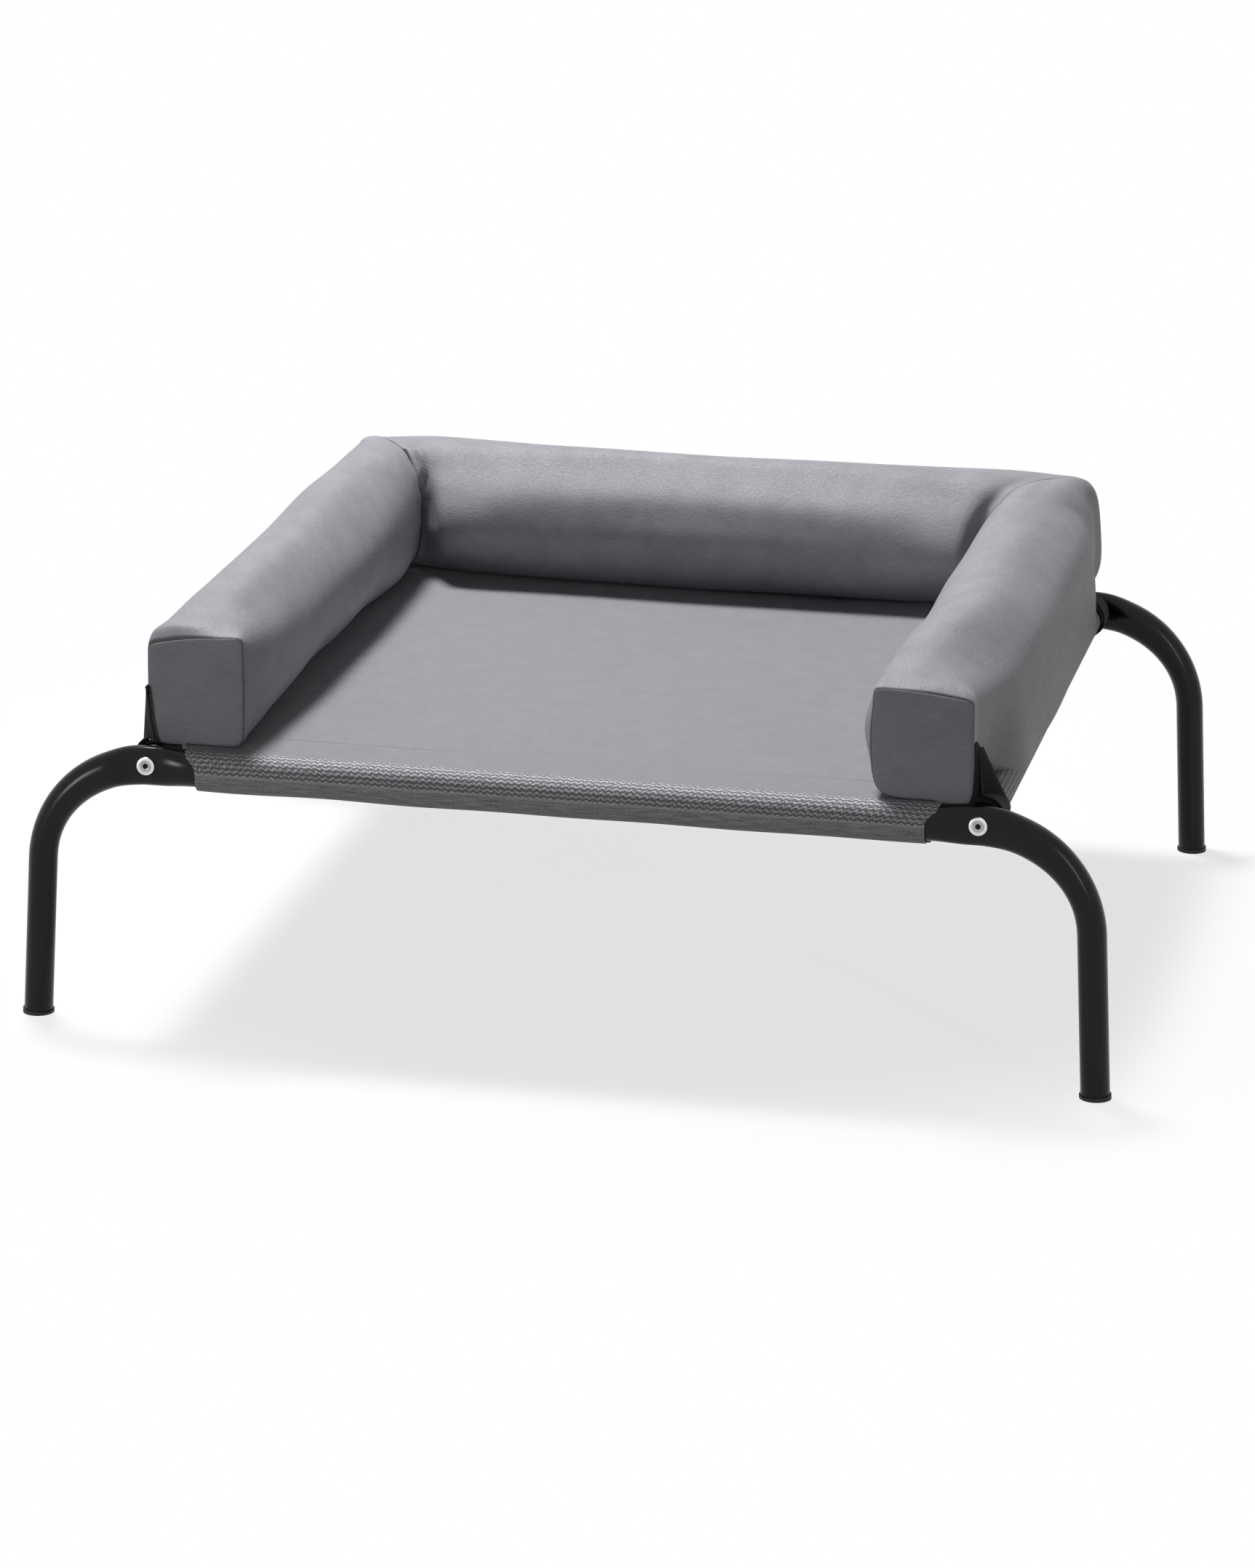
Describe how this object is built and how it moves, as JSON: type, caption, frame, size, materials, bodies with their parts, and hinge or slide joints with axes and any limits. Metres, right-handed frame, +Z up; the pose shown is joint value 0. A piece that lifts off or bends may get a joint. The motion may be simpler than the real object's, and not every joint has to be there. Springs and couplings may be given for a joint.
{
  "type": "raised dog cot",
  "caption": "Raised dog cot: bent black tube bows bolted to side rails carry a woven grey sling, with a stuffed three-sided bolster strapped on top.",
  "frame": {"origin": "on the floor, midway between the four feet", "axes": "+X along the bows to the right as seen from the open front, +Y from the open front to the back bolster, +Z up"},
  "size_m": [0.8368, 0.641, 0.3218],
  "materials": {
    "tube_black": "satin black powder coat",
    "insert_zinc": "plain zinc plate",
    "bolt_bright": "bright nickel plate",
    "foot_black": "matte moulded plastic",
    "sling_weave": "fine woven coated mesh",
    "sleeve_weave": "coarse woven coated mesh",
    "cover_cloth": "smooth polyester with a satin sheen",
    "panel_cloth": "smooth polyester",
    "core_fibre": "loose white fibre",
    "strap_black": "matte black hook-and-loop tape"
  },
  "bodies": {
    "frame": {"front_bow": "tube_black", "rear_bow": "tube_black", "left_side_rail": "tube_black", "right_side_rail": "tube_black", "front_left_insert": "insert_zinc", "front_right_insert": "insert_zinc", "rear_left_insert": "insert_zinc", "rear_right_insert": "insert_zinc", "front_left_bolt": "bolt_bright", "front_right_bolt": "bolt_bright", "rear_left_bolt": "bolt_bright", "rear_right_bolt": "bolt_bright", "front_left_foot": "foot_black", "front_right_foot": "foot_black", "rear_left_foot": "foot_black", "rear_right_foot": "foot_black", "sling_panel": "sling_weave", "front_sleeve": "sleeve_weave", "rear_sleeve": "sleeve_weave", "left_sleeve": "sleeve_weave", "right_sleeve": "sleeve_weave"},
    "bolster": {"left_bolster_cover": "cover_cloth", "rear_bolster_cover": "cover_cloth", "right_bolster_cover": "cover_cloth", "left_bolster_core": "core_fibre", "rear_bolster_core": "core_fibre", "right_bolster_core": "core_fibre", "left_end_panel": "panel_cloth", "right_end_panel": "panel_cloth", "front_left_tab": "strap_black", "front_right_tab": "strap_black", "rear_left_tab": "strap_black", "rear_right_tab": "strap_black"},
    "front_left_strap_body": {"front_left_strap": "strap_black"},
    "front_right_strap_body": {"front_right_strap": "strap_black"},
    "rear_left_strap_body": {"rear_left_strap": "strap_black"},
    "rear_right_strap_body": {"rear_right_strap": "strap_black"}
  },
  "joints": [
    {"name": "bolster_lift", "type": "slide", "parent": "frame", "child": "bolster", "axis": [0, 0, 1], "range_m": [0, 0.3]},
    {"name": "front_left_strap_peel", "type": "hinge", "parent": "frame", "child": "front_left_strap_body", "pos_m": [-0.315, -0.279, 0.205], "axis": [0, -1, 0], "range_deg": [0, 110]},
    {"name": "front_right_strap_peel", "type": "hinge", "parent": "frame", "child": "front_right_strap_body", "pos_m": [0.315, -0.279, 0.205], "axis": [0, 1, 0], "range_deg": [0, 110]},
    {"name": "rear_left_strap_peel", "type": "hinge", "parent": "frame", "child": "rear_left_strap_body", "pos_m": [-0.315, 0.279, 0.205], "axis": [0, -1, 0], "range_deg": [0, 110]},
    {"name": "rear_right_strap_peel", "type": "hinge", "parent": "frame", "child": "rear_right_strap_body", "pos_m": [0.315, 0.279, 0.205], "axis": [0, 1, 0], "range_deg": [0, 110]}
  ]
}
